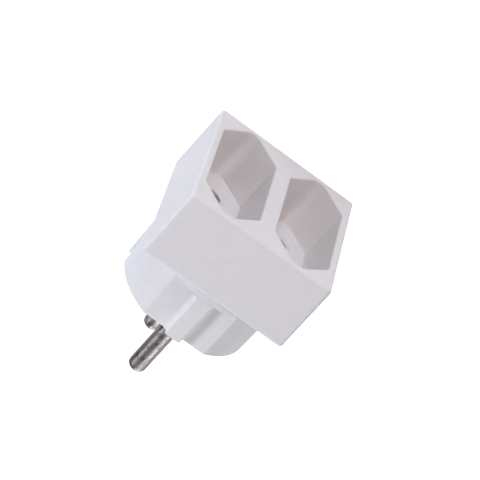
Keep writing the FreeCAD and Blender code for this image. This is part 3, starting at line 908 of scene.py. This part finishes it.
# %% A tree that repeats a mesh on a grid
def repeat_tree():
    """Grid of points, a copy on each, made real and given a material."""
    tree = bpy.data.node_groups.new("repeat_on_grid", "GeometryNodeTree")
    face = tree.interface
    face.new_socket("Geometry", in_out="INPUT", socket_type="NodeSocketGeometry")
    for name, kind in (("Columns", "NodeSocketInt"), ("Rows", "NodeSocketInt"),
                       ("Width", "NodeSocketFloat"), ("Height", "NodeSocketFloat"),
                       ("Material", "NodeSocketMaterial")):
        face.new_socket(name, in_out="INPUT", socket_type=kind)
    face.new_socket("Geometry", in_out="OUTPUT", socket_type="NodeSocketGeometry")
    nodes, links = tree.nodes, tree.links
    entry = nodes.new("NodeGroupInput")
    leave = nodes.new("NodeGroupOutput")
    grid = nodes.new("GeometryNodeMeshGrid")
    stand = nodes.new("GeometryNodeTransform")
    stand.inputs["Rotation"].default_value = (math.pi / 2, 0, 0)
    place = nodes.new("GeometryNodeInstanceOnPoints")
    real = nodes.new("GeometryNodeRealizeInstances")
    paint = nodes.new("GeometryNodeSetMaterial")
    links.new(entry.outputs["Width"], grid.inputs["Size X"])
    links.new(entry.outputs["Height"], grid.inputs["Size Y"])
    links.new(entry.outputs["Columns"], grid.inputs["Vertices X"])
    links.new(entry.outputs["Rows"], grid.inputs["Vertices Y"])
    links.new(grid.outputs["Mesh"], stand.inputs["Geometry"])
    links.new(stand.outputs["Geometry"], place.inputs["Points"])
    links.new(entry.outputs["Geometry"], place.inputs["Instance"])
    links.new(place.outputs["Instances"], real.inputs["Geometry"])
    links.new(real.outputs["Geometry"], paint.inputs["Geometry"])
    links.new(entry.outputs["Material"], paint.inputs["Material"])
    links.new(paint.outputs["Geometry"], leave.inputs["Geometry"])
    return tree


REPEAT = repeat_tree()


def repeated(seed, name, **values):
    """Applies the repeat tree to a seed object and returns the plain result."""
    modifier = seed.modifiers.new("repeat", "NODES")
    modifier.node_group = REPEAT
    for item in REPEAT.interface.items_tree:
        if item.in_out == "INPUT" and item.name in values:
            modifier[item.identifier] = values[item.name]
    seed.data.materials.append(values["Material"])
    ready = seed.evaluated_get(bpy.context.evaluated_depsgraph_get())
    mesh = bpy.data.meshes.new_from_object(ready)
    mesh.name = name
    bpy.data.objects.remove(seed)
    result = bpy.data.objects.new(name, mesh)
    bpy.context.scene.collection.objects.link(result)
    print(name, "faces", len(mesh.polygons), "materials", [m.name for m in mesh.materials])
    return result


# %% [markdown]
# A pin is turned on a lathe in life. A cylinder with a bevel would come close, but here it is
# spun from a profile, pairs of radius and y, that can follow the real one: a foot that fills the
# seat in the plug's end, a straight shaft, and a rounded tip with a small flat in its middle.

# %% Pins
PIN_RADIUS = 2.4
PIN_LENGTH = 19.0
PIN_TIP, TIP_STEPS = 1.8, 12
FOOT_Y = -2.0
FOOT_CENTRE = 0.4
FOOT_RADIUS = PIN_SEAT - 0.05
PIN_PROFILE = [(FOOT_CENTRE, FOOT_Y), (FOOT_RADIUS, FOOT_Y), (FOOT_RADIUS, -0.15),
               (PIN_SEAT - 0.08, -0.08), (PIN_RADIUS + 0.02, -0.06), (PIN_RADIUS, 0.0),
               (PIN_RADIUS, PIN_LENGTH - PIN_TIP)]
LATHE_POINTS = 64


def lathe(name, profile):
    """Solid of revolution round the Y axis from (radius, y) pairs, with flat ends."""
    bm = new_bmesh()
    rows = [add_ring(bm, circle_ring(0, 0, radius, LATHE_POINTS), y) for radius, y in profile]
    bridge(bm, rows)
    fill(bm, [rows[0]])
    fill(bm, [rows[-1]])
    return finish_mesh(bm, name)


def round_end(radius, top, rounding, steps):
    """Profile points of the rounded edge that ends a turned part at y = top."""
    points = []
    for step in range(1, steps + 1):
        x, y = on_circle(rounding, math.pi / 2 * step / steps)
        points.append((radius - rounding + x, top - rounding + y))
    return points


pin_seed = lathe("pin_seed", PIN_PROFILE + round_end(PIN_RADIUS, PIN_LENGTH, PIN_TIP, TIP_STEPS))
pins = weighted(repeated(pin_seed, "contact_pins", Material=PIN_NICKEL, Columns=1, Rows=2,
                         Width=0.0, Height=2 * PIN_Z * MM))

# %% [markdown]
# One screw between the pins draws the plug onto the box. Its head lies below the plug's end and
# has a cross recess that narrows downwards. The recess has twelve walls in a domed head, and to
# loft that by hand would be a puzzle. It is the one shape here that a boolean cuts well, with a
# small tapered cross as the tool.

# %% Screw between the pins
SCREW_HEAD = 2.6
SCREW_TOP = -0.8
SCREW_BASE = -2.45
SCREW_CENTRE = 1.0
HEAD_ROUND, HEAD_STEPS = 0.85, 8
SCREW_PROFILE = [(SCREW_CENTRE, SCREW_BASE), (SCREW_HEAD, SCREW_BASE),
                 (SCREW_HEAD, SCREW_TOP - HEAD_ROUND),
                 *round_end(SCREW_HEAD, SCREW_TOP, HEAD_ROUND, HEAD_STEPS)]
CROSS_ROWS = ((SCREW_TOP - 1.0, 1.0, 0.3), (SCREW_TOP + 0.3, 1.75, 0.45))


def cross_tool():
    """Tapered cross; its rows give y, and the length and half width of an arm."""
    bm = new_bmesh()
    rows = []
    for y, length, width in CROSS_ROWS:
        outline = []
        for x, z in ((1, 1), (-1, 1), (-1, -1), (1, -1)):
            corner = [(x * length, z * width), (x * width, z * width), (x * width, z * length)]
            outline += corner if x == z else corner[::-1]
        rows.append(add_ring(bm, outline, y))
    bridge(bm, rows)
    fill(bm, [rows[0]])
    fill(bm, [rows[1]])
    return finish_mesh(bm, "cross_tool")


def cut(obj, tool):
    """Cuts the tool's shape out of the object, which stays a plain, flat-shaded mesh."""
    modifier = obj.modifiers.new("cut", "BOOLEAN")
    modifier.operation = "DIFFERENCE"
    modifier.solver = "EXACT"
    modifier.object = tool
    ready = obj.evaluated_get(bpy.context.evaluated_depsgraph_get())
    mesh = bpy.data.meshes.new_from_object(ready)
    obj.modifiers.clear()
    obj.data = mesh
    bpy.data.objects.remove(tool)
    for face in mesh.polygons:
        face.use_smooth = False


screw = lathe("sunk_screw", SCREW_PROFILE)
cut(screw, cross_tool())
dress(screw, SCREW_STEEL)
print("screw faces", len(screw.data.polygons))

# %% [markdown]
# Each dressed piece is parented to the empty of the body it moves with, and the exact nodes it
# stands for are hidden.
# Nothing on this adapter moves, so all of them ride on the root.

# %% Attach the pieces to the root
for piece, slot_name, nodes_replaced in (
        (housing, "housing_white", ["front_shell"]),
        (well_floors, "housing_white", ["contact_cover"]),
        (plug_body, "plug_white", ["rear_cover"]),
        (pins, "pin_nickel", ["pin_upper", "pin_lower"]),
        (screw, "screw_steel", ["housing_screw"])):
    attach(piece, "root")
    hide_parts(*nodes_replaced)
    print(piece.name, "stands for", nodes_replaced)

# %% [markdown]
# The adapter stands on a plain white sheet, as in a catalogue. Lamps alone leave a sheet grey, so
# this one also glows, but only for the camera: it lights the adapter as paper would. Bare metal
# shows what stands round it, and the photograph's pins mirror something dark on their +X side. So
# mirrored rays see the sheet turn black there.

# %% Floor
FLOOR_SIZE = 3.0
GLOW = 0.9
PAPER_WHITE = (0.88, 0.88, 0.88, 1)
DARK_FROM, LIGHT_UP_TO = 0.055, 0.035
MIRRORED_DARK, MIRRORED_LIGHT = (0.004, 0.003, 0.003), (0.85, 0.84, 0.84)


def floor_finish():
    """White to the camera, paper to the lamps, and dark on one side to what mirrors it."""
    material, nodes, links = new_material("floor_white")
    nodes.remove(nodes["Principled BSDF"])
    glow = nodes.new("ShaderNodeEmission")
    glow.inputs["Color"].default_value = (1, 1, 1, 1)
    glow.inputs["Strength"].default_value = GLOW
    paper = nodes.new("ShaderNodeBsdfDiffuse")
    paper.inputs["Color"].default_value = PAPER_WHITE
    bright = nodes.new("ShaderNodeAddShader")
    links.new(glow.outputs[0], bright.inputs[0])
    links.new(paper.outputs[0], bright.inputs[1])
    where = nodes.new("ShaderNodeTexCoord")
    split = nodes.new("ShaderNodeSeparateXYZ")
    fade = nodes.new("ShaderNodeMapRange")
    fade.inputs["From Min"].default_value = DARK_FROM
    fade.inputs["From Max"].default_value = LIGHT_UP_TO
    links.new(where.outputs["Object"], split.inputs[0])
    links.new(split.outputs["X"], fade.inputs["Value"])
    tone = mixed_colour(nodes, links, fade.outputs["Result"], MIRRORED_DARK, MIRRORED_LIGHT)
    mirrored = nodes.new("ShaderNodeBsdfDiffuse")
    links.new(tone, mirrored.inputs["Color"])
    path = nodes.new("ShaderNodeLightPath")
    direct = nodes.new("ShaderNodeMixShader")
    links.new(path.outputs["Is Camera Ray"], direct.inputs[0])
    links.new(paper.outputs[0], direct.inputs[1])
    links.new(bright.outputs[0], direct.inputs[2])
    choose = nodes.new("ShaderNodeMixShader")
    links.new(path.outputs["Is Glossy Ray"], choose.inputs[0])
    links.new(direct.outputs[0], choose.inputs[1])
    links.new(mirrored.outputs[0], choose.inputs[2])
    links.new(choose.outputs[0], nodes["Material Output"].inputs["Surface"])
    return material


floor_mesh = bpy.data.meshes.new("floor")
floor_corners = [(x * FLOOR_SIZE, y * FLOOR_SIZE, cad_low.z)
                 for x, y in ((-1, -1), (1, -1), (1, 1), (-1, 1))]
floor_mesh.from_pydata(floor_corners, [], [(0, 1, 2, 3)])
floor_mesh.materials.append(floor_finish())
floor = bpy.data.objects.new("floor", floor_mesh)
bpy.context.scene.collection.objects.link(floor)
print("floor at", round(cad_low.z, 5))

# %% [markdown]
# The photograph has soft light from all round and a smaller lamp on the +X side, which throws the
# shadow of the rib. One large sky would leave no shadow at all. So there is a faint warm sky, a
# small key lamp and four wide fills, all disks that face the adapter, each placed by its angle
# round the table and its angle above it. Their colours were set against the photograph's whites.

# %% Light
SKY_COLOUR = (1.15, 1.0, 0.84, 1)
SKY_STRENGTH = 0.115
LAMP_DISTANCE = 0.6
LAMP_TARGET = Vector((0, -0.01, 0))
KEY_SIZE, FILL_SIZE = 0.16, 0.4
world = bpy.data.worlds.new("studio")
bpy.context.scene.world = world
world.use_nodes = True
sky = world.node_tree.nodes["Background"]
sky.inputs["Color"].default_value = SKY_COLOUR
sky.inputs["Strength"].default_value = SKY_STRENGTH


def lamp(name, azimuth, elevation, size, power, colour):
    """Disk lamp; azimuth turns from +X towards +Y, elevation is above the floor, in degrees."""
    data = bpy.data.lights.new(name, "AREA")
    data.shape = "DISK"
    data.size = size
    data.energy = power
    data.color = colour
    light = bpy.data.objects.new(name, data)
    bpy.context.scene.collection.objects.link(light)
    a, e = math.radians(azimuth), math.radians(elevation)
    toward = Vector((math.cos(e) * math.cos(a), math.cos(e) * math.sin(a), math.sin(e)))
    toward.normalize()
    light.location = toward * LAMP_DISTANCE + LAMP_TARGET
    light.rotation_mode = "QUATERNION"
    light.rotation_quaternion = toward.to_track_quat("Z", "Y")
    print(name, "at", [round(value, 3) for value in light.location], "watts", power)


lamp("key", 10, 34, KEY_SIZE, 1.73, (0.92, 1.0, 1.17))
lamp("back_fill", 120, 20, FILL_SIZE, 1.72, (0.89, 1.0, 1.11))
lamp("front_fill", 285, 18, FILL_SIZE, 1.25, (0.92, 1.0, 1.11))
lamp("front_top", 270, 50, FILL_SIZE, 0.50, (1.22, 0.98, 0.98))
lamp("side_fill", 200, 20, FILL_SIZE, 0.24, (0.85, 1.0, 1.25))

# %% [markdown]
# The camera's place was worked out from the photograph: the known pins, the box's right angles
# and the corners of the outline fix where it stood and how it was turned. The adapter lies at a
# slant in the picture. It could be turned to match, but rolling the camera leaves the part in its
# own frame. The axes below are the picture's right and up.

# %% Camera
CAMERA_PLACE = (0.113955, -0.315878, 0.493830)
CAMERA_RIGHT = Vector((-0.79553, -0.58375, -0.16240))
CAMERA_UP = Vector((0.57364, -0.63930, -0.51208))
CAMERA_LENS, SENSOR_WIDTH = 181.62, 36.0
NEAREST_SEEN = 0.01
camera_data = bpy.data.cameras.new("camera")
camera_data.lens = CAMERA_LENS
camera_data.sensor_width = SENSOR_WIDTH
camera_data.clip_start = NEAREST_SEEN
camera = bpy.data.objects.new("camera", camera_data)
bpy.context.scene.collection.objects.link(camera)
camera_back = CAMERA_RIGHT.cross(CAMERA_UP).normalized()
turned = Matrix((CAMERA_RIGHT.normalized(), CAMERA_UP.normalized(), camera_back)).transposed()
camera.matrix_world = Matrix.Translation(CAMERA_PLACE) @ turned.to_4x4()
bpy.context.scene.camera = camera
bpy.context.scene.view_settings.view_transform = "Standard"
print("camera lens", CAMERA_LENS, "distance", round(Vector(CAMERA_PLACE).length, 3))

# %% [markdown]
# Last, the box round the exact model is written, in metres.

# %% Sizes and finish
print("cad", [round(v, 5) for v in (*cad_low, *cad_high)])
